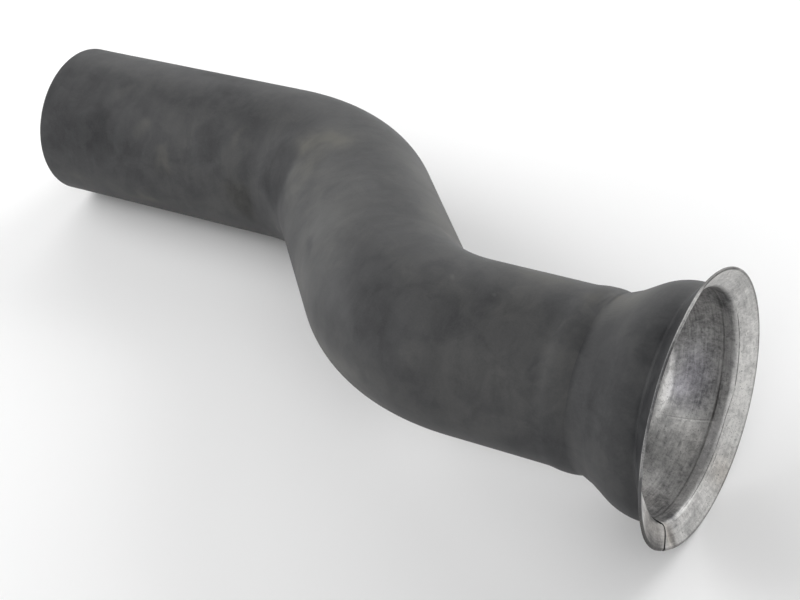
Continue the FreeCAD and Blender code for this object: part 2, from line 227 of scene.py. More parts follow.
TUBE_MARKS_AND_PAINTED_LIGHT = (
    (655.0, 148.0, 45.0, 30.0, -0.26, -0.1, 1),
    (600.0, 150.0, 40.0, 28.0, -0.15, -0.1, 1),
    (675.0, 70.0, 25.0, 15.0, -0.30, 0.0, 1),
    (535.0, 70.0, 50.0, 16.0, -0.40, 0.0, 1),
    (660.0, 165.0, 30.0, 30.0, -0.20, 0.0, 1),
    (682.0, 141.0, 10.0, 14.0, -0.28, 0.0, 1),
    (590.0, 188.0, 30.0, 12.0, -0.20, 0.0, 1),
    (625.0, 160.0, 26.0, 24.0, -0.10, -0.6, 2),
    (616.0, 139.0, 12.0, 8.0, -0.16, -0.5, 2),
    (573.0, 149.0, 8.0, 7.0, 0.20, 0.3, 2),
    (547.0, 167.0, 5.0, 12.0, 0.20, 0.3, 2),
    (501.0, 147.0, 15.0, 18.0, -0.26, -0.6, 2),
    (490.0, 127.0, 10.0, 7.0, 0.14, 0.0, 1),
    (475.0, 137.0, 5.0, 14.0, 0.18, 0.2, 2),
    (607.0, 123.0, 8.0, 6.0, 0.18, 0.1, 2),
    (464.0, 185.0, 18.0, 18.0, -0.22, 0.4, 2),
    (574.0, 212.0, 22.0, 6.0, 0.26, 0.5, 1),
    (648.0, 204.0, 12.0, 5.0, 0.15, 0.2, 1),
    (506.0, 97.0, 18.0, 8.0, -0.20, 0.0, 2),
    (392.0, 152.0, 36.0, 28.0, -0.44, 0.0, 3),
    (407.0, 137.0, 10.0, 22.0, -0.10, -0.5, 2),
    (374.0, 124.0, 14.0, 13.0, 0.46, 0.5, 1),
    (360.0, 109.0, 13.0, 12.0, 0.24, 0.4, 1),
    (346.0, 100.0, 13.0, 13.0, 0.32, 0.5, 1),
    (338.0, 122.0, 14.0, 14.0, 0.14, 0.2, 1),
    (335.0, 140.0, 17.0, 18.0, 0.26, 0.1, 2),
    (272.0, 124.0, 60.0, 32.0, 0.36, -0.1, 1),
    (240.0, 130.0, 34.0, 20.0, 0.32, -0.1, 1),
    (310.0, 115.0, 16.0, 14.0, 0.20, 0.0, 1),
    (279.0, 117.0, 9.0, 9.0, -0.20, 0.0, 2),
    (200.0, 128.0, 18.0, 14.0, 0.18, 0.0, 1),
    (197.0, 66.0, 16.0, 8.0, 0.16, 0.0, 1),
    (236.0, 147.0, 14.0, 7.0, -0.24, 0.0, 2),
    (228.0, 166.0, 30.0, 18.0, 0.34, 0.0, 1),
    (230.0, 38.0, 64.0, 22.0, 0.38, 0.2, 1),
    (318.0, 36.0, 26.0, 14.0, 0.26, 0.0, 1),
    (338.0, 56.0, 14.0, 16.0, 0.12, 0.0, 1),
    (193.0, 45.0, 4.0, 4.0, 0.30, 0.3, 2),
    (143.0, 146.0, 22.0, 24.0, -0.44, -0.1, 1),
    (160.0, 135.0, 18.0, 16.0, -0.14, -0.6, 2),
    (138.0, 109.0, 8.0, 6.0, 0.14, 0.0, 2),
    (112.0, 158.0, 14.0, 12.0, 0.18, 0.0, 1),
    (168.0, 194.0, 30.0, 14.0, 0.50, 0.0, 1),
    (143.0, 208.0, 16.0, 8.0, 0.34, 0.0, 1),
    (55.0, 74.0, 28.0, 16.0, 0.32, 0.3, 1),
    (62.0, 108.0, 16.0, 16.0, 0.20, 0.1, 1),
    (102.0, 106.0, 14.0, 16.0, 0.16, 0.0, 1),
    (68.0, 159.0, 24.0, 16.0, 0.24, 0.0, 1),
    (12.0, 140.0, 14.0, 26.0, 0.14, 0.0, 1),
    (14.0, 163.0, 8.0, 10.0, 0.14, 0.0, 1),
    (20.0, 190.0, 14.0, 14.0, -0.20, 0.0, 1),
    (34.0, 207.0, 24.0, 12.0, -0.30, 0.0, 1),
    (10.0, 88.0, 6.0, 12.0, 0.10, 0.5, 1),
    (400.0, 202.0, 5.0, 4.0, 0.30, 0.2, 2),
    (105.9, 103.4, 2.2, 1.6, 0.35, 0.0, 2),
    (82.0, 108.3, 2.0, 1.6, 0.35, 0.0, 2),
)

# Marks on the bell's outside and the weld: painted shade on the lip's back and in the
# crease at the weld, painted highlights on the cone near the neck, and the coating's
# own patches and the weld's brown tint
BELL_MARKS_AND_PAINTED_LIGHT = (
    (45.0, 135.0, 22.0, 30.0, -0.20, 0.0, 1),
    (15.0, 135.0, 12.0, 34.0, -0.16, 0.0, 1),
    # Painted shade on the back of the lip near the rim
    (4.0, 140.0, 9.0, 80.0, -0.45, 0.0, 3),
    (11.0, 110.0, 5.0, 26.0, -0.26, 0.0, 1),
    (14.0, 132.0, 6.0, 24.0, 0.12, 0.0, 1),
    (18.0, 92.0, 6.0, 14.0, -0.22, 0.0, 1),
    # Painted highlights on the cone near the neck, in this mark and the ones after it
    (58.0, 89.0, 7.0, 14.0, 0.18, 0.0, 1),
    (42.0, 112.0, 8.0, 12.0, 0.14, 0.0, 1),
    (50.0, 154.0, 14.0, 28.0, -0.26, 0.0, 1),
    (63.0, 148.0, 4.0, 30.0, -0.16, 0.0, 1),
    (52.0, 88.0, 14.0, 14.0, 0.38, 0.2, 1),
    # Painted shade in the crease at the top of the weld
    (67.4, 73.0, 0.9, 13.0, -0.45, 0.0, 1),
    (68.0, 87.0, 0.9, 8.0, -0.35, 0.0, 1),
    (65.0, 80.0, 2.5, 6.0, 0.14, 0.8, 1),
)

# Marks on the bell's bare inside: painted highlights such as the bright crescent,
# painted shade such as the dark top of the throat and the throat beside the tongue, and
# the steel's own blotches and tints
INNER_MARKS_AND_PAINTED_LIGHT = (
    # Painted shade inside the top of the throat
    (17.0, 36.0, 9.0, 16.0, -0.18, 0.0, 2),
    (36.0, 24.0, 14.0, 26.0, -0.14, 0.1, 1),
    (48.0, 10.0, 6.0, 20.0, -0.16, 0.0, 1),
    # Painted reflection: the bright crescent deep in the bell, in this mark and the
    # next two
    (52.4, -30.0, 2.6, 12.5, 1.05, 0.0, 1.4),
    (51.6, -12.0, 1.8, 9.0, 0.52, 0.0, 1.4),
    (53.4, -46.0, 2.0, 8.0, 0.44, 0.0, 1),
    (45.0, -27.0, 5.0, 9.0, 0.28, -0.7, 1),
    (45.0, -60.0, 10.0, 24.0, 0.15, 0.0, 1),
    (38.0, -18.0, 11.0, 22.0, 0.0, -0.8, 1),
    (33.0, -24.0, 10.0, 18.0, -0.20, -0.3, 1),
    (26.0, -13.0, 6.0, 10.0, -0.10, 0.0, 1),
    (34.0, -37.0, 4.0, 6.0, -0.10, 0.0, 1),
    (26.0, -54.0, 12.0, 18.0, 0.22, 0.1, 1),
    (37.0, -46.0, 6.0, 7.0, 0.14, 0.1, 1),
    (29.0, -45.0, 4.0, 5.0, 0.12, 0.0, 1),
    (15.0, -52.0, 4.5, 22.0, 0.13, -0.3, 1),
    (14.0, -6.0, 4.0, 14.0, 0.08, -0.2, 1),
    (3.0, -14.0, 6.0, 24.0, 0.15, 0.0, 1),
    (6.0, -25.0, 3.5, 9.0, 0.26, 0.0, 1),
    (6.0, -45.0, 7.0, 22.0, 0.22, 0.0, 1),
    (2.0, -54.0, 4.0, 8.0, -0.12, 0.0, 1),
    (3.0, -78.0, 5.0, 12.0, 0.12, 0.0, 1),
    (15.0, -78.0, 8.0, 14.0, 0.14, 0.0, 1),
    (36.0, -98.0, 14.0, 14.0, -0.18, 0.3, 1),
    (22.0, -104.0, 8.0, 13.0, -0.22, 0.0, 1),
    (12.0, -106.0, 3.0, 6.0, -0.28, 0.0, 1),
    # Painted shade in the throat beside the tongue and above its root
    (13.5, -142.0, 4.5, 26.0, -0.60, 0.0, 2),
    (5.0, 33.0, 4.0, 8.0, 0.12, 0.0, 1),
    (4.0, 40.0, 10.0, 30.0, -0.20, 0.0, 1),
    (3.0, -62.0, 7.0, 12.0, 0.0, 0.5, 1),
    (4.0, -86.0, 5.0, 12.0, -0.12, 0.0, 1),
    (2.0, -98.0, 3.5, 7.0, -0.32, 0.0, 1),
    (4.0, -108.0, 6.0, 10.0, -0.20, 0.0, 1),
    (5.0, -117.0, 6.0, 7.0, -0.42, 0.8, 1),
    (4.0, -140.0, 12.0, 26.0, -0.40, 0.5, 3),
    (1.5, -143.0, 3.0, 14.0, -0.14, 0.0, 1),
    (4.0, -118.5, 6.0, 1.8, 0.25, 0.0, 1),
    (4.0, -114.5, 4.0, 2.5, -0.20, 0.0, 1),
    (0.5, -132.0, 2.8, 12.0, -0.35, 0.0, 1),
    (5.0, -175.0, 8.0, 18.0, -0.42, 0.0, 1),
    (1.0, 182.0, 5.0, 26.0, -0.18, 0.0, 1),
    (0.0, 142.0, 4.0, 40.0, -0.45, 0.0, 2),
)

# The seam across the cone's inside: its angle at the mouth, its change with depth, the
# depth at its end, how long it and its light side take to fade there, the half width of
# each side in degrees, and how far the dark one lies beside it
SEAM_ANGLE = -38.0
SEAM_SLOPE = -0.16
SEAM_END = 53.0
SEAM_FADE = 6.0
SEAM_LIGHT_FADE = 16.0
SEAM_LIGHT_WIDTH = 0.7
SEAM_DARK_WIDTH = 0.5
SEAM_DARK_OFFSET = 0.9

# The broken lines of painted shade along the lip's fold: the depth of the first one
# high and low, the angles between
# # which it changes and those where the line ends, and the depth of the second one with
# its middle and its half length in
# # degrees. Their half widths and that of the crease's painted shade are in
# millimetres.
FOLD_LINE_TOP = 9.1
FOLD_LINE_LOW = 10.5
FOLD_LINE_STEP = (-24.0, -37.0)
FOLD_LINE_ENDS = (-100.0, 30.0)
SECOND_FOLD_LINE = 8.9
SECOND_FOLD_ARC = (-56.0, 24.0)
FOLD_LINE_WIDTH = 0.42
SECOND_FOLD_WIDTH = 0.35
CREASE_LINE_WIDTH = 1.6

# Where the painted shade in the crease behind the throat is darkest: its middle and
# half length
CREASE_ARC = (-40.0, 26.0)

# Where the rim's cut edge is bare: its middle, its half width and the length of its
# fade, in degrees
BARE_EDGE = (147.0, 46.0, 16.0)

# Where the rim's cut edge is darkest, beside the split and at the top, the same way,
# how dark it is elsewhere, and how far off the edge's rounding a point still counts
RIM_SHADOWS = ((-158.0, 21.0, 10.0), (76.0, 18.0, 10.0))
RIM_SHADE = 0.45
EDGE_SLACK = 0.05
EDGE_OVERLAP = 0.1

# Ridges on the tube, with painted light along some: from a run and an angle to another,
# half its width, its tone and its height. The tone is a painted highlight along the two
# ridges on the middle run and painted shade in the crease at the swollen end. They
# weaken to a share of their strength near their ends.
STREAK_END = 0.35
STREAK_END_SHARE = 0.03
RIDGES_WITH_PAINTED_LIGHT = (
    (331.0, 146.0, 290.0, 124.0, 2.2, 0.15, 0.10),
    (332.0, 149.0, 322.0, 145.0, 1.6, 0.15, 0.0),
    (4.5, 50.0, 6.5, 95.0, 3.0, 0.0, 0.30),
    (1.8, 80.0, 4.5, 96.0, 1.0, -0.30, -0.08),
)


def turned_from(degrees, angle):
    """How far each angle is from that one, the short way round."""
    return (degrees - angle + 180) % 360 - 180


def smooth_step(share):
    share = np.clip(share, 0, 1)
    return share * share * (3 - 2 * share)


def arc_weights(degrees, arc):
    """One within half an arc's width of its middle, and nothing beyond its fade."""
    middle, half, fade = arc
    apart = np.abs(turned_from(degrees, middle))
    return smooth_step((half + fade / 2 - apart) / fade)


def mark_weights(along, degrees, radius, mark):
    """How strongly a mark shows at each place."""
    place, angle, length, width, *_, crisp = mark
    x = (along - place) / length
    y = np.radians(turned_from(degrees, angle)) * radius / width
    return np.exp(-((x * x + y * y) ** crisp))


def streak_weights(run, degrees, streak):
    """How strongly a streak shows at each place on the tube."""
    run_0, angle_0, run_1, angle_1, width = streak[:5]
    start = np.array([run_0, math.radians(angle_0) * TUBE_RADIUS])
    reach = np.array([run_1, math.radians(angle_1) * TUBE_RADIUS]) - start
    x, y = run - start[0], np.radians(degrees) * TUBE_RADIUS - start[1]
    share = np.clip((x * reach[0] + y * reach[1]) / (reach @ reach), 0, 1)
    apart = np.hypot(x - share * reach[0], y - share * reach[1])
    share = np.clip(share, STREAK_END_SHARE, 1 - STREAK_END_SHARE)
    taper = STREAK_END + (1 - STREAK_END) * np.sin(math.pi * share)
    return taper * np.exp(-((apart / width) ** 2))


def waver(points, seed, size, height):
    """A slow random change from place to place, at each point."""
    places = points / size + np.array([seed, 0.0, 0.0])
    return height * np.array([noise.noise(Vector(place)) for place in places])


def write_attribute(mesh, name, values):
    layer = mesh.attributes.new(name, "FLOAT", "POINT")
    layer.data.foreach_set("value", np.asarray(values, np.float32))


def write_place(mesh, places):
    """Keeps where each point would be if the pipe were straight."""
    layer = mesh.attributes.new("unbent", "FLOAT_VECTOR", "POINT")
    layer.data.foreach_set("vector", np.asarray(places, np.float32).ravel())


# Meshes


def add_piece(name, points, faces, slots):
    """A smooth piece from points of the pipe's own frame."""
    mesh = bpy.data.meshes.new(name)
    mesh.from_pydata(rest(points).tolist(), [], faces.tolist())
    mesh.polygons.foreach_set("material_index", slots)
    mesh.shade_smooth()
    mesh.update()
    piece = bpy.data.objects.new(name, mesh)
    bpy.context.scene.collection.objects.link(piece)
    return piece


def ring_faces(count, around):
    """Faces from each ring of points to the next, and from the last to the first."""
    here = np.arange(around)
    ahead = (here + 1) % around
    faces = []
    for i in range(count):
        low, high = i * around, ((i + 1) % count) * around
        faces.append(np.stack([low + here, low + ahead, high + ahead, high + here], 1))
    return np.concatenate(faces)


def polar_point(centre, radius, degrees):
    angle = math.radians(degrees)
    return (
        centre[0] + radius * math.cos(angle),
        centre[1] + radius * math.sin(angle),
    )


def arc_points(centre, radius, start, stop, count):
    """Points on an arc, in degrees, without its last one."""
    angles = np.linspace(start, stop, count, endpoint=False)
    return [polar_point(centre, radius, a) for a in angles]


def run_points(start, stop, count):
    """Evenly spaced points of a straight run, without its last one."""
    steps = np.linspace(0, 1, count, endpoint=False)[:, None]
    start, stop = np.array(start), np.array(stop)
    return [tuple(p) for p in start + (stop - start) * steps]


# The tube

ANGLES = np.linspace(0, 2 * math.pi, AROUND_TUBE, endpoint=False)
DEGREES = np.degrees(ANGLES)


def centreline(run):
    """The centre and the in-plane normal of the tube, that far from its swollen end."""
    place = np.array([-TUBE_END, 0.0])
    angle = 0.0
    for number, stretch in enumerate(STRETCHES):
        part = min(run, stretch)
        if number in (1, 3):
            sign = 1 if number == 1 else -1
            turned = angle + sign * part / BEND_RADIUS
            side = np.array([math.sin(angle), math.cos(angle)])
            new_side = np.array([math.sin(turned), math.cos(turned)])
            place = place + sign * BEND_RADIUS * (side - new_side)
            angle = turned
        else:
            place = place + part * np.array([-math.cos(angle), math.sin(angle)])
        run -= part
        if run <= 0:
            break
    normal = np.array([math.sin(angle), math.cos(angle), 0.0])
    return np.array([place[0], place[1], 0.0]), normal


def swell(run):
    """How far the tube's surface is swollen, that far from its end."""
    start = CREST_BACK + SWELL_RUN
    if run >= start:
        return 0.0
    if run <= CREST_BACK + SWELL_RUN / 2:
        drop = SWELL_RADIUS - math.sqrt(SWELL_RADIUS**2 - (run - CREST_BACK) ** 2)
        return SWELL_HEIGHT - drop
    return SWELL_RADIUS - math.sqrt(SWELL_RADIUS**2 - (start - run) ** 2)


def tube_ring(run, inset, lift=0.0):
    """The points round the tube's section at that run, that far inside its surface."""
    centre, normal = centreline(run)
    upright = np.array([0.0, 0.0, 1.0])
    outward = np.cos(ANGLES)[:, None] * normal + np.sin(ANGLES)[:, None] * upright
    reach = np.full(AROUND_TUBE, TUBE_RADIUS + swell(run) - inset) + lift
    return centre + outward * reach[:, None]


def worked_lift(run):
    """The height of the hand-worked surface round the section at that run."""
    fade = min(1.0, run / UNEVENNESS_FADE, (TUBE_RUN - run) / UNEVENNESS_FADE)
    lift = fade * (waver(tube_ring(run, 0.0), *TUBE_UNEVENNESS) - TUBE_UNEVENNESS[2])
    for streak in RIDGES_WITH_PAINTED_LIGHT:
        lift += streak[6] * streak_weights(run, DEGREES, streak)
    return lift


def tube_skin():
    """The tube: its surface, its two cut faces and its bore."""
    far = TUBE_RUN - CUT_EDGE
    outside = [
        *np.linspace(CUT_EDGE, MOUTH_STRETCH, MOUTH_RINGS),
        *np.linspace(MOUTH_STRETCH, far, TUBE_RINGS)[1:],
    ]
    inside = [
        *np.linspace(far, BORE_MOUTH_STRETCH, BORE_RINGS),
        *np.linspace(BORE_MOUTH_STRETCH, CUT_EDGE, BORE_MOUTH_RINGS)[1:],
    ]
    rings = [tube_ring(run, 0.0, worked_lift(run)) for run in outside]
    middle = CUT_EDGE * CUT_ROUNDING
    rings.append(tube_ring(TUBE_RUN - middle, middle))
    rings.append(tube_ring(TUBE_RUN, CUT_EDGE))
    rings.append(tube_ring(TUBE_RUN, WALL - CUT_EDGE))
    rings += [tube_ring(run, WALL) for run in inside]
    rings.append(tube_ring(0.0, WALL - CUT_EDGE))
    rings.append(tube_ring(0.0, CUT_EDGE))
    slots = np.ones(len(rings), int)
    slots[: len(outside) + 1] = 0
    slots[-1] = 0
    slots = np.repeat(slots, AROUND_TUBE)
    faces = ring_faces(len(rings), AROUND_TUBE)[:, ::-1]
    piece = add_piece("tube", np.concatenate(rings), faces, slots)
    paint_tube(piece.data, np.concatenate(rings[: len(outside)]), outside)
    return piece


def paint_tube(mesh, points, runs):
    """Writes the marks of the coating, painted shade and painted highlights among them,
    on the tube's first points, which are outside.
    """
    run = np.repeat(runs, AROUND_TUBE)
    degrees = np.tile(DEGREES, len(runs))
    along = run + sum(waver(points, *shift) for shift in TUBE_MARK_SHIFTS)
    turned = degrees + sum(waver(points, *twist) for twist in TUBE_MARK_TWISTS)
    tone = np.zeros(len(mesh.vertices))
    warmth = np.zeros(len(mesh.vertices))
    here = slice(0, len(run))
    for mark in TUBE_MARKS_AND_PAINTED_LIGHT:
        weight = mark_weights(along, turned, TUBE_RADIUS, mark)
        tone[here] += mark[4] * weight
        warmth[here] += mark[5] * weight
    # Painted highlight along the ridges on the middle run, painted shade in the crease
    # at the swollen end
    for streak in RIDGES_WITH_PAINTED_LIGHT:
        tone[here] += streak[5] * streak_weights(run, degrees, streak)
    write_attribute(mesh, "tone", tone)
    write_attribute(mesh, "warmth", warmth)
    unbent = np.zeros((len(mesh.vertices), 3))
    turn = np.radians(degrees)
    unbent[here] = np.stack(
        [run, TUBE_RADIUS * np.cos(turn), TUBE_RADIUS * np.sin(turn)], 1
    )
    write_place(mesh, unbent)


# The bell


def rim_middle():
    """The middle of the rim's rounded edge in the section."""
    return (
        -WALL / 2 * (math.sin(LIP_ANGLE) + math.cos(LIP_ANGLE)),
        MOUTH_RADIUS + WALL / 2 * (math.cos(LIP_ANGLE) - math.sin(LIP_ANGLE)),
    )


def bell_outline():
    """The section's points and materials: the outside, the inside and the rim."""
    lean = math.degrees(CONE_ANGLE)
    lip = math.degrees(LIP_ANGLE)
    out = np.array([-math.sin(LIP_ANGLE), math.cos(LIP_ANGLE)])
    half = WALL / 2
    rim = np.array(rim_middle())
    slack = math.tan(LIP_ANGLE / 2)
    fold = np.array(
        [-LIP_DEPTH - (WALL + LIP_FOLD) * slack, BARREL_RADIUS + LIP_FOLD]
    )
    inner_fold = LIP_FOLD + WALL
    shoulder = (-SHOULDER_DEPTH, BARREL_RADIUS - SHOULDER_RADIUS)
    neck = (-BELL_DEPTH, SPIGOT_RADIUS + NECK_RADIUS)
    spigot_end = -BELL_DEPTH - SPIGOT_LENGTH
    bore = SPIGOT_RADIUS - WALL
    throat = BARREL_RADIUS - WALL

    outside = run_points(rim + out * half, polar_point(fold, LIP_FOLD, lip - 90), 12)
    outside += arc_points(fold, LIP_FOLD, lip - 90, -90, 10)
    outside += run_points((fold[0], BARREL_RADIUS), (-SHOULDER_DEPTH, BARREL_RADIUS), 5)
    outside += arc_points(shoulder, SHOULDER_RADIUS, 90, 90 + lean, 18)
    outside += run_points((-TOP_DEPTH, TOP_RADIUS), (-FOOT_DEPTH, FOOT_RADIUS), 10)
    outside += arc_points(neck, NECK_RADIUS, lean - 90, -90, 5)
    outside += run_points((neck[0], SPIGOT_RADIUS), (spigot_end, SPIGOT_RADIUS), 4)

    inside = run_points((spigot_end, SPIGOT_RADIUS), (spigot_end, bore), 2)
    inside += run_points((spigot_end, bore), (neck[0], bore), 5)
    inside += arc_points(neck, NECK_RADIUS + WALL, -90, lean - 90, 8)
    inner_foot = polar_point(neck, NECK_RADIUS + WALL, lean - 90)
    inner_top = polar_point(shoulder, SHOULDER_RADIUS - WALL, 90 + lean)
    inside += run_points(inner_foot, inner_top, 12)
    crease = -SHOULDER_DEPTH - CREASE_WIDTH
    last = 90 + math.degrees(CREASE_WIDTH / (SHOULDER_RADIUS - WALL))
    inside += arc_points(shoulder, SHOULDER_RADIUS - WALL, 90 + lean, last, 22)
    inside.append(polar_point(shoulder, SHOULDER_RADIUS - WALL, last))
    inside += [
        (crease + CREASE_WIDTH * share, throat + CREASE_DEPTH * height)
        for share, height in CREASE_LINE
    ]
    barrel = (-SHOULDER_DEPTH + CREASE_FADE, throat)
    inside += run_points(barrel, (fold[0], throat), 6)
    inside += arc_points(fold, inner_fold, -90, lip - 90, 16)
    inside += run_points(
        polar_point(fold, inner_fold, lip - 90), rim - out * half, 16
    )
    edge = arc_points(rim, half, lip - 90, lip + 90, 12)
    slots = [0] * len(outside) + [1] * (len(inside) + len(edge))
    return outside + inside + edge, slots


def bell_skin():
    """The bell, before its lip is split."""
    outline, slots = bell_outline()
    turn = np.linspace(0, 2 * math.pi, AROUND_BELL, endpoint=False)
    rings = [
        np.stack([np.full(AROUND_BELL, x), r * np.cos(turn), r * np.sin(turn)], 1)
        for x, r in outline
    ]
    points = np.concatenate(rings)
    faces = ring_faces(len(rings), AROUND_BELL)
    return add_piece("bell", points, faces, np.repeat(slots, AROUND_BELL))


def split_cutter():
    """A thin J-shaped blade that stands across the lip."""
    radius, degrees = np.array(SPLIT_LINE).T
    turn = np.radians(degrees)
    line = np.stack([radius * np.cos(turn), radius * np.sin(turn)], 1)
    ahead = np.gradient(line, axis=0)
    ahead /= np.linalg.norm(ahead, axis=1)[:, None]
    side = np.stack([-ahead[:, 1], ahead[:, 0]], 1) * SPLIT_WIDTH / 2
    side[:2] *= SPLIT_MOUTH_SHARE
    side[-1] *= SPLIT_TIP_SHARE
    ring = np.concatenate([line + side, (line - side)[::-1]])
    following = np.roll(ring, -1, axis=0)
    if np.sum(ring[:, 0] * following[:, 1] - ring[:, 1] * following[:, 0]) < 0:
        ring = ring[::-1]
    count = len(ring)
    points = [
        np.concatenate([np.full((count, 1), x), ring], 1)
        for x in (SPLIT_BLADE_FRONT, -LIP_DEPTH - WALL)
    ]
    here = np.arange(count)
    ahead = (here + 1) % count
    sides = np.stack([here, here + count, ahead + count, ahead], 1).tolist()
    ends = [here.tolist(), (here[::-1] + count).tolist()]
    mesh = bpy.data.meshes.new("blade")
    mesh.from_pydata(rest(np.concatenate(points)).tolist(), [], sides + ends)
    mesh.update()
    blade = bpy.data.objects.new("blade", mesh)
    bpy.context.scene.collection.objects.link(blade)
    return blade


def bend_lip(points):
    """Leans the rim, flattens the lip beside the split, and drops its cut edge."""
    radius = np.hypot(points[:, 1], points[:, 2])
    degrees = np.degrees(np.arctan2(points[:, 2], points[:, 1]))
    wrapped = (degrees - 360) * (degrees > 90) + degrees * (degrees <= 90)
    behind = -points[:, 0] - LIP_DEPTH
    along = (radius - THROAT_RADIUS) * math.sin(LIP_ANGLE)
    along = along - behind * math.cos(LIP_ANGLE)
    place = np.clip(along * math.sin(LIP_ANGLE) / LIP_HEIGHT, 0, 1)
    angles, *bends = np.array(TONGUE).T
    offsets = np.linspace(-TONGUE_BLUR, TONGUE_BLUR, 5)
    rise, sink, back, out = (
        np.mean([np.interp(wrapped + offset, angles, bend) for offset in offsets], 0)
        for bend in bends
    )
    fade = smooth_step(1 - (behind - WALL) / TONGUE_FADE)
    angles, forward, outward = np.array(RIM_LEAN).T
    back = back - np.interp(wrapped, angles, forward)
    out = out + np.interp(wrapped, angles, outward)

    line = np.array(SPLIT_LINE[::-1])
    inner = line[:3, 0].min()
    cut = np.interp(radius, line[2:, 0], line[2:, 1])
    left = (radius > inner) & (degrees < cut) & (degrees > SPLIT_TIP) & (behind < WALL)
    drop = TONGUE_DROP * smooth_step((degrees - SPLIT_TIP) / TONGUE_DROP_ARC) * left

    points[:, 0] += (rise * (1 - place) - back * place) * fade - drop
    scale = 1 + (out * place - sink * (1 - place)) * fade / radius
    points[:, 1:] *= scale[:, None]
    return points


def split_lip(bell):
    """Cuts the split and bends the lip round it."""
    blade = split_cutter()
    cut = bell.modifiers.new("split", "BOOLEAN")
    cut.operation = "DIFFERENCE"
    cut.solver = "EXACT"
    cut.object = blade
    seen = bell.evaluated_get(bpy.context.evaluated_depsgraph_get())
    mesh = bpy.data.meshes.new_from_object(seen)
    bell.modifiers.clear()
    bell.data = mesh
    bpy.data.objects.remove(blade)

    places = np.empty(len(mesh.vertices) * 3)
    mesh.vertices.foreach_get("co", places)
    paint_bell(mesh)
    points = bend_lip(own(places.reshape(-1, 3)))
    mesh.vertices.foreach_set("co", rest(points).ravel())
    mesh.shade_smooth()
    mesh.set_sharp_from_angle(angle=SHARP_ANGLE)
    mesh.update()


def paint_bell(mesh):
    """Writes the marks of the coating and of the bare inside on the bell or weld,
    painted shade and painted highlights among them, and the rim's cut edge with its
    painted shade.
    """
    count = len(mesh.vertices)
    places = np.empty(count * 3)
    mesh.vertices.foreach_get("co", places)
    points = own(places.reshape(-1, 3))
    depth = -points[:, 0]
    radius = np.hypot(points[:, 1], points[:, 2])
    degrees = np.degrees(np.arctan2(points[:, 2], points[:, 1])) % 360
    inside = np.zeros(count, bool)
    for face in mesh.polygons:
        if face.material_index == 1:
            inside[list(face.vertices)] = True
    tone = np.zeros(count)
    warmth = np.zeros(count)
    shift, twist = waver(points, *BELL_MARK_SHIFT), waver(points, *BELL_MARK_TWIST)
    for marks, here, reach in (
        (BELL_MARKS_AND_PAINTED_LIGHT, ~inside, BELL_MARK_FREEDOM),
        (INNER_MARKS_AND_PAINTED_LIGHT, inside, INNER_MARK_FREEDOM),
    ):
        for mark in marks:
            freedom = reach * min(1.0, mark[2] / FREE_MARK_LENGTH)
            along, turned = depth + freedom * shift, degrees + freedom * twist
            weight = mark_weights(along, turned, radius, mark) * here
            tone += mark[4] * weight
            warmth += mark[5] * weight
    write_attribute(mesh, "tone", tone)
    write_attribute(mesh, "warmth", warmth)
    write_attribute(mesh, "bare_edge", arc_weights(degrees, BARE_EDGE))

    middle_x, middle_radius = rim_middle()
    behind, above = depth + middle_x, radius - middle_radius
    beyond = above * math.sin(LIP_ANGLE) - behind * math.cos(LIP_ANGLE)
    edge = (np.hypot(behind, above) < WALL / 2 + EDGE_SLACK) & (beyond > -EDGE_OVERLAP)
    shade = RIM_SHADE + (1 - RIM_SHADE) * sum(
        arc_weights(degrees, shadow) for shadow in RIM_SHADOWS
    )
    write_attribute(mesh, "edge", edge * shade)
    write_place(mesh, points)


# The weld


def weld_skin():
    """The bead that fills the notch between the tube's end and the bell's cone."""
    lean = np.array([math.cos(CONE_ANGLE), math.sin(CONE_ANGLE)])
    foot = np.array([-FOOT_DEPTH, FOOT_RADIUS])
    high = foot + lean * WELD_LEG
    low = np.array([-TUBE_END - WELD_OVERLAP, TUBE_RADIUS + swell(WELD_OVERLAP)])
    fall = np.array([1.0, -(CREST_BACK - WELD_OVERLAP) / SWELL_RADIUS])
    fall /= np.linalg.norm(fall)
    reach = np.linalg.norm(high - low) * WELD_HANDLE
    first, second = low + fall * reach, high - lean * reach
    face = [
        low * (1 - t) ** 3
        + first * 3 * t * (1 - t) ** 2
        + second * 3 * t * t * (1 - t)
        + high * t**3
        for t in np.linspace(0, 1, WELD_FACE_POINTS)
    ]
    inward = np.array([lean[1], -lean[0]])
    neck = (-BELL_DEPTH, SPIGOT_RADIUS + NECK_RADIUS)
    lean_back = math.degrees(CONE_ANGLE) - 90
    back = [foot + lean * WELD_LEG / 2 + inward * WELD_UNDERCUT]
    back += arc_points(neck, NECK_RADIUS, lean_back, -90, 5)
    back += [
        (-BELL_DEPTH, SPIGOT_RADIUS),
        (-TUBE_END - WELD_OVERLAP, SPIGOT_RADIUS + WALL * WELD_ROOT_SHARE),
    ]
    turn = np.linspace(0, 2 * math.pi, AROUND_WELD, endpoint=False)
    bends, wander = WELD_RIPPLE_WANDER
    ripples = np.cos(turn * WELD_RIPPLES + wander * np.sin(turn * bends))
    rings = []
    for number, (x, radius) in enumerate(face + back):
        reach = np.full(AROUND_WELD, radius)
        if number in (0, len(face) - 1):
            reach -= WELD_EDGE_SINK
        elif number < len(face):
            middle = math.sin(math.pi * number / (len(face) - 1)) ** 2
            reach += middle * (WELD_BULGE + WELD_RIPPLE_HEIGHT * ripples)
        across, upright = reach * np.cos(turn), reach * np.sin(turn)
        rings.append(np.stack([np.full(AROUND_WELD, x), across, upright], 1))
    faces = ring_faces(len(rings), AROUND_WELD)
    piece = add_piece("weld", np.concatenate(rings), faces, np.zeros(len(faces), int))
    piece.data.set_sharp_from_angle(angle=SHARP_ANGLE)
    return piece


# Materials

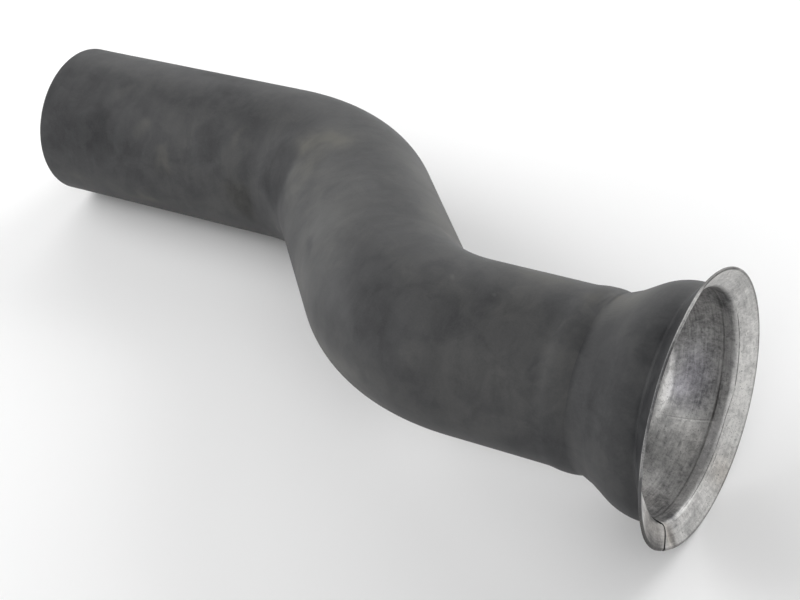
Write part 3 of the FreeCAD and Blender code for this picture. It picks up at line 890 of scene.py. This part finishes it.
COAT_DARK_COOL = (0.0080, 0.0083, 0.0100, 1)
COAT_PALE_COOL = (0.0875, 0.0885, 0.0900, 1)
COAT_DARK_WARM = (0.0100, 0.0093, 0.0075, 1)
COAT_PALE_WARM = (0.100, 0.097, 0.084, 1)
STEEL_DARK = (0.10, 0.10, 0.103, 1)
STEEL_PALE = (0.86, 0.85, 0.83, 1)
WARM_TINT = (1.0, 0.93, 0.86, 1)
COLD_TINT = (0.93, 0.92, 1.0, 1)
GRIME_AND_PAINTED_SHADE = (0.05, 0.048, 0.045, 1)
BORE_DARK = (0.075, 0.072, 0.07, 1)
BORE_PALE = (0.24, 0.235, 0.225, 1)
FLOOR_WHITE = (0.9, 0.9, 0.9, 1)


class Nodes:
    """A material's node tree, built by short calls."""

    def __init__(self, name):
        self.material = bpy.data.materials.new(name)
        self.material.use_nodes = True
        self.tree = self.material.node_tree
        self.shader = self.tree.nodes["Principled BSDF"]
        self.place = self.add("ShaderNodeTexCoord").outputs["Object"]

    def add(self, kind, **settings):
        node = self.tree.nodes.new(kind)
        for name, value in settings.items():
            setattr(node, name, value)
        return node

    def link(self, source, target):
        """Links an output to an input, or sets the input to a number or a colour."""
        if hasattr(source, "is_output"):
            self.tree.links.new(source, target)
        else:
            target.default_value = source

    def noise(self, scale, detail, roughness, distortion=0.0, vector=None):
        node = self.add("ShaderNodeTexNoise")
        self.link(vector or self.place, node.inputs["Vector"])
        node.inputs["Scale"].default_value = scale
        node.inputs["Detail"].default_value = detail
        node.inputs["Roughness"].default_value = roughness
        node.inputs["Distortion"].default_value = distortion
        return node.outputs["Fac"]

    def math(self, operation, *values):
        node = self.add("ShaderNodeMath", operation=operation)
        for socket, value in zip(node.inputs, values):
            self.link(value, socket)
        return node.outputs[0]

    def chain(self, operation, first, *others):
        for other in others:
            first = self.math(operation, first, other)
        return first

    def total(self, *values):
        return self.chain("ADD", *values)

    def product(self, *values):
        return self.chain("MULTIPLY", *values)

    def largest(self, *values):
        return self.chain("MAXIMUM", *values)

    def span(self, value, low, high, to_low=0.0, to_high=1.0, smooth=False):
        """From one number to another as the value goes from low to high."""
        node = self.add("ShaderNodeMapRange", clamp=True)
        node.interpolation_type = "SMOOTHSTEP" if smooth else "LINEAR"
        numbers = (value, low, high, to_low, to_high)
        names = ("Value", "From Min", "From Max", "To Min", "To Max")
        for name, number in zip(names, numbers):
            self.link(number, node.inputs[name])
        return node.outputs["Result"]

    def swing(self, value, reach, height, smooth=False):
        """From -height to height as a noise goes from 0.5 - reach to 0.5 + reach."""
        return self.span(value, 0.5 - reach, 0.5 + reach, -height, height, smooth)

    def ring(self, value, place, width):
        """One on a line at that value, and nothing beyond its width."""
        apart = self.math("ABSOLUTE", self.math("SUBTRACT", value, place))
        return self.span(apart, 0.0, width, 1.0, 0.0, smooth=True)

    def mix(self, share, first, second):
        node = self.add("ShaderNodeMix", data_type="RGBA", clamp_factor=True)
        self.link(share, node.inputs["Factor"])
        self.link(first, node.inputs[6])
        self.link(second, node.inputs[7])
        return node.outputs[2]

    def tinted(self, colour, tint):
        """That colour, filtered by a tint."""
        node = self.add("ShaderNodeMix", data_type="RGBA", blend_type="MULTIPLY")
        node.inputs["Factor"].default_value = 1.0
        self.link(colour, node.inputs[6])
        self.link(tint, node.inputs[7])
        return node.outputs[2]

    def attribute(self, name):
        return self.add("ShaderNodeAttribute", attribute_name=name).outputs["Fac"]

    def unbent(self):
        """The three parts of where the surface would be if the pipe were straight."""
        node = self.add("ShaderNodeAttribute", attribute_name="unbent")
        parts = self.add("ShaderNodeSeparateXYZ")
        self.link(node.outputs["Vector"], parts.inputs["Vector"])
        return parts.outputs[0], parts.outputs[1], parts.outputs[2]

    def stretched(self, parts, factors):
        """The vector of those parts, each times its factor."""
        node = self.add("ShaderNodeCombineXYZ")
        for socket, part, factor in zip(node.inputs, parts, factors):
            self.link(self.product(part, factor), socket)
        return node.outputs["Vector"]

    def bump(self, height, distance, strength, normal=None):
        node = self.add("ShaderNodeBump")
        node.inputs["Distance"].default_value = distance
        node.inputs["Strength"].default_value = strength
        self.link(height, node.inputs["Height"])
        if normal is not None:
            self.link(normal, node.inputs["Normal"])
        return node.outputs["Normal"]

    def finish(self, **sockets):
        for name, value in sockets.items():
            self.link(value, self.shader.inputs[name.replace("_", " ")])
        return self.material


def coating():
    """The dark grey coating: cloudy, brushed, bluish where dark, olive where pale, with
    painted shade and painted highlights from the marks.
    """
    n = Nodes("coating")
    brushed = n.stretched(n.unbent(), (0.075, 0.022, 0.022))
    clouds = n.noise(13.0, detail=2.5, roughness=0.55, distortion=0.8)
    brushing = n.noise(1.0, detail=4.0, roughness=0.6, distortion=0.5, vector=brushed)
    smears = n.noise(42.0, detail=4.0, roughness=0.62, distortion=0.6)
    streaks = n.noise(160.0, detail=3.0, roughness=0.6)
    grain = n.noise(700.0, detail=2.0, roughness=0.7)
    # The marks' tone holds the coating's own patches, with painted shade and painted
    # highlights among them
    tone = n.total(
        n.attribute("tone"),
        n.swing(clouds, 0.15, 0.08, smooth=True),
        n.swing(brushing, 0.15, 0.05, smooth=True),
        n.swing(smears, 0.12, 0.10, smooth=True),
        n.swing(streaks, 0.2, 0.03),
        n.swing(grain, 0.2, 0.05),
    )
    light = n.span(tone, -0.64, 0.6)
    warmth = n.total(n.attribute("warmth"), n.span(light, 0.4, 0.9, 0.0, 0.3))
    colour = n.mix(
        warmth,
        n.mix(light, COAT_DARK_COOL, COAT_PALE_COOL),
        n.mix(light, COAT_DARK_WARM, COAT_PALE_WARM),
    )
    rough = n.span(smears, 0.3, 0.7, 0.54, 0.66)
    normal = n.bump(grain, 0.00008, 0.5)
    normal = n.bump(smears, 0.0007, 0.25, normal)
    return n.finish(
        Base_Color=colour, Roughness=rough, Normal=normal, Specular_IOR_Level=0.25
    )


def bell_place(n):
    """The depth in the bell, the radius and the angle, before the lip was bent."""
    x, y, z = n.unbent()
    radius = n.math("SQRT", n.total(n.product(y, y), n.product(z, z)))
    angle = n.product(n.math("ARCTAN2", z, y), 180 / math.pi)
    return n.product(x, -1.0), radius, angle


def seam_lines(n, depth, angle, scuffs):
    """The light and the dark side of the seam across the cone's inside."""
    seam = n.math("SUBTRACT", angle, n.product(depth, SEAM_SLOPE))
    apart = n.math("SUBTRACT", seam, SEAM_ANGLE)
    here = n.product(
        n.span(depth, SEAM_END, SEAM_END - SEAM_FADE),
        n.span(depth, SHOULDER_DEPTH - 3.0, SHOULDER_DEPTH),
        n.span(scuffs, 0.36, 0.56, 0.25, 1.0),
    )
    lit = n.span(depth, SEAM_END - SEAM_FADE, SEAM_END - SEAM_LIGHT_FADE)
    light = n.product(n.ring(apart, 0.0, SEAM_LIGHT_WIDTH), here, lit, 0.24)
    dark = n.product(n.ring(apart, SEAM_DARK_OFFSET, SEAM_DARK_WIDTH), here, 0.5)
    return light, dark


def fold_lines(n, depth, angle, blotches, scuffs):
    """Painted shade: two broken dark lines along the lip's fold."""
    high, low = FOLD_LINE_STEP
    first_end, last_end = FOLD_LINE_ENDS
    place = n.span(angle, high, low, FOLD_LINE_TOP, FOLD_LINE_LOW)
    first = n.product(
        n.ring(depth, place, FOLD_LINE_WIDTH),
        n.span(blotches, 0.40, 0.52, 0.15, 1.0),
        n.span(angle, first_end, first_end + 10.0),
        n.span(angle, last_end, last_end - 14.0),
    )
    second = n.product(
        n.ring(depth, SECOND_FOLD_LINE, SECOND_FOLD_WIDTH),
        n.span(scuffs, 0.45, 0.6),
        n.ring(angle, *SECOND_FOLD_ARC),
    )
    return n.largest(first, second)


def throat_crease(n, depth, angle, brushing):
    """Painted shade in the crease between the throat and the shoulder."""
    line = n.span(brushing, 0.3, 0.7, SHOULDER_DEPTH, SHOULDER_DEPTH + 2.0)
    strength = n.span(n.ring(angle, *CREASE_ARC), 0.0, 1.0, 0.35, 0.8)
    return n.product(n.ring(depth, line, CREASE_LINE_WIDTH), strength)


def bare_steel():
    """The bell's bare inside: a pale lip, a duller throat and a mottled shoulder, with
    painted shade in the crease and along the fold and a painted bright crescent deep
    inside.
    """
    n = Nodes("bare_steel")
    depth, radius, angle = bell_place(n)
    turned = n.stretched((angle, radius, depth), (0.05, 0.6, 0.6))
    brushing = n.noise(1.0, detail=4.0, roughness=0.65, vector=turned)
    blotches = n.noise(75.0, detail=4.0, roughness=0.62, distortion=0.6)
    scuffs = n.noise(190.0, detail=3.0, roughness=0.65, distortion=0.8)
    spangle = n.noise(420.0, detail=3.0, roughness=0.7)
    specks = n.noise(1100.0, detail=1.0, roughness=0.5)

    lip = n.span(depth, LIP_DEPTH - 2.0, LIP_DEPTH + 1.5, 1.0, 0.0, smooth=True)
    shoulder = n.span(depth, SHOULDER_DEPTH, SHOULDER_DEPTH + 4.0, 0.3, 1.0)
    scuffed = n.largest(shoulder, n.product(lip, 1.3))
    # The marks' tone: the steel's own blotches, with painted shade and painted
    # highlights among them; the strongest are the painted bright crescent
    marks_and_painted_light = n.attribute("tone")
    painted_highlight = n.largest(n.math("SUBTRACT", marks_and_painted_light, 0.4), 0.0)
    edge, bare = n.attribute("edge"), n.attribute("bare_edge")
    light_seam, dark_seam = seam_lines(n, depth, angle, scuffs)
    tone = n.total(
        n.span(lip, 0.0, 1.0, 0.33, 0.68),
        n.swing(blotches, 0.2, 0.12),
        n.product(n.swing(scuffs, 0.2, 0.12), scuffed),
        n.swing(spangle, 0.2, 0.12),
        n.swing(brushing, 0.2, 0.11),
        n.product(marks_and_painted_light, n.span(scuffs, 0.25, 0.6, 0.6, 1.15)),
        # Painted highlight: the bright crescent deep inside, given a ragged edge by the
        # scuffs
        n.product(painted_highlight, n.span(scuffs, 0.36, 0.5, -0.7, 0.8)),
        # Painted shade on the rim's cut edge, deeper where the edge is bare
        n.product(edge, n.span(bare, 0.0, 1.0, -0.3, -0.6)),
        light_seam,
    )
    grey = n.mix(tone, STEEL_DARK, STEEL_PALE)
    warmth = n.attribute("warmth")
    colour = n.mix(warmth, grey, n.tinted(grey, WARM_TINT))
    colour = n.mix(n.product(warmth, -1.0), colour, n.tinted(grey, COLD_TINT))

    # Mixed toward the dark colour: painted shade in the throat's crease and along the
    # lip's fold, the seam's dark side, the cut edge where it is coated, with painted
    # shade beside the split and at the top, and dark specks
    dark = n.largest(
        throat_crease(n, depth, angle, brushing),
        fold_lines(n, depth, angle, blotches, scuffs),
        dark_seam,
        n.product(edge, n.math("SUBTRACT", 1.0, bare)),
        n.span(specks, 0.62, 0.76, 0.0, 0.7),
    )
    colour = n.mix(n.product(dark, 0.85), colour, GRIME_AND_PAINTED_SHADE)
    rough = n.span(spangle, 0.3, 0.7, 0.42, 0.6)
    normal = n.bump(spangle, 0.00014, 0.6)
    normal = n.bump(scuffs, 0.00025, 0.5, normal)
    return n.finish(Base_Color=colour, Metallic=0.6, Roughness=rough, Normal=normal)


def bore_steel():
    """The tube's inside and its cut faces: dull steel with a film of soot."""
    n = Nodes("bore_steel")
    blotches = n.noise(28.0, detail=4.0, roughness=0.6, distortion=0.5)
    grain = n.noise(420.0, detail=3.0, roughness=0.7)
    tone = n.total(n.span(blotches, 0.3, 0.7, 0.1, 0.9), n.swing(grain, 0.2, 0.15))
    colour = n.mix(tone, BORE_DARK, BORE_PALE)
    rough = n.span(blotches, 0.3, 0.7, 0.7, 0.5)
    normal = n.bump(grain, 0.00012, 0.5)
    return n.finish(Base_Color=colour, Metallic=0.6, Roughness=rough, Normal=normal)


def plain_floor():
    return Nodes("floor").finish(Base_Color=FLOOR_WHITE, Roughness=0.8)


# Stage, in metres

CAMERA_PLACE = Vector((0.73934, -0.88356, 0.93236))
CAMERA_RIGHT = Vector((0.84884, 0.50605, -0.15289))
CAMERA_AHEAD = Vector((-0.48102, 0.61938, -0.62047))
CAMERA_LENS = 83.25
CAMERA_RANGE = (0.05, 50.0)
SENSOR_WIDTH = 36.0
FLOOR_SIZE = 12.0
DAYLIGHT = 0.25

# Each lamp's name, place, size and power, and the point that they all look at
LAMPS = (
    ("left", (-1.83, -0.50, 1.06), 2.0, 45),
    ("right", (0.71, 2.01, 0.86), 1.5, 45),
    ("behind", (-1.26, 1.62, 1.03), 1.5, 14),
    ("front", (1.20, -1.50, 1.20), 1.8, 18),
)
LAMP_AIM = Vector((0.0, 0.0, 0.08))


def camera():
    data = bpy.data.cameras.new("camera")
    data.lens = CAMERA_LENS
    data.sensor_width = SENSOR_WIDTH
    data.sensor_fit = "HORIZONTAL"
    data.clip_start, data.clip_end = CAMERA_RANGE
    holder = bpy.data.objects.new("camera", data)
    ahead = CAMERA_AHEAD.normalized()
    right = (CAMERA_RIGHT - ahead * CAMERA_RIGHT.dot(ahead)).normalized()
    up = right.cross(ahead)
    turn = Matrix((right, up, -ahead)).transposed().to_4x4()
    holder.matrix_world = Matrix.Translation(CAMERA_PLACE) @ turn
    bpy.context.scene.collection.objects.link(holder)
    bpy.context.scene.camera = holder


def lamp(name, place, size, power):
    """A large soft light that looks at the pipe."""
    data = bpy.data.lights.new(name, "AREA")
    data.shape = "SQUARE"
    data.size = size
    data.energy = power
    holder = bpy.data.objects.new(name, data)
    place = Vector(place)
    turn = (LAMP_AIM - place).to_track_quat("-Z", "Y").to_matrix().to_4x4()
    holder.matrix_world = Matrix.Translation(place) @ turn
    bpy.context.scene.collection.objects.link(holder)


def floor():
    mesh = bpy.data.meshes.new("floor")
    half = FLOOR_SIZE / 2
    corners = [(-half, -half, 0), (half, -half, 0), (half, half, 0), (-half, half, 0)]
    mesh.from_pydata(corners, [], [(0, 1, 2, 3)])
    mesh.materials.append(plain_floor())
    sheet = bpy.data.objects.new("floor", mesh)
    bpy.context.scene.collection.objects.link(sheet)


def daylight(strength):
    world = bpy.data.worlds.new("studio")
    world.use_nodes = True
    background = world.node_tree.nodes["Background"]
    background.inputs["Color"].default_value = (1, 1, 1, 1)
    background.inputs["Strength"].default_value = strength
    bpy.context.scene.world = world


# Assembly


def dress(piece, node, slot, *materials):
    for material in materials:
        piece.data.materials.append(material)
    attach(piece, "root")
    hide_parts(node)


coat = coating()

tube = tube_skin()
dress(tube, "bent_tube", "dark_coating", coat, bore_steel())

bell = bell_skin()
split_lip(bell)
dress(bell, "flare_bell", "bell_steel", coat, bare_steel())

weld = weld_skin()
paint_bell(weld.data)
dress(weld, "neck_weld", "weld_metal", coat)

floor()
daylight(DAYLIGHT)
for name, place, size, power in LAMPS:
    lamp(name, place, size, power)
camera()
bpy.context.scene.view_settings.view_transform = "Standard"
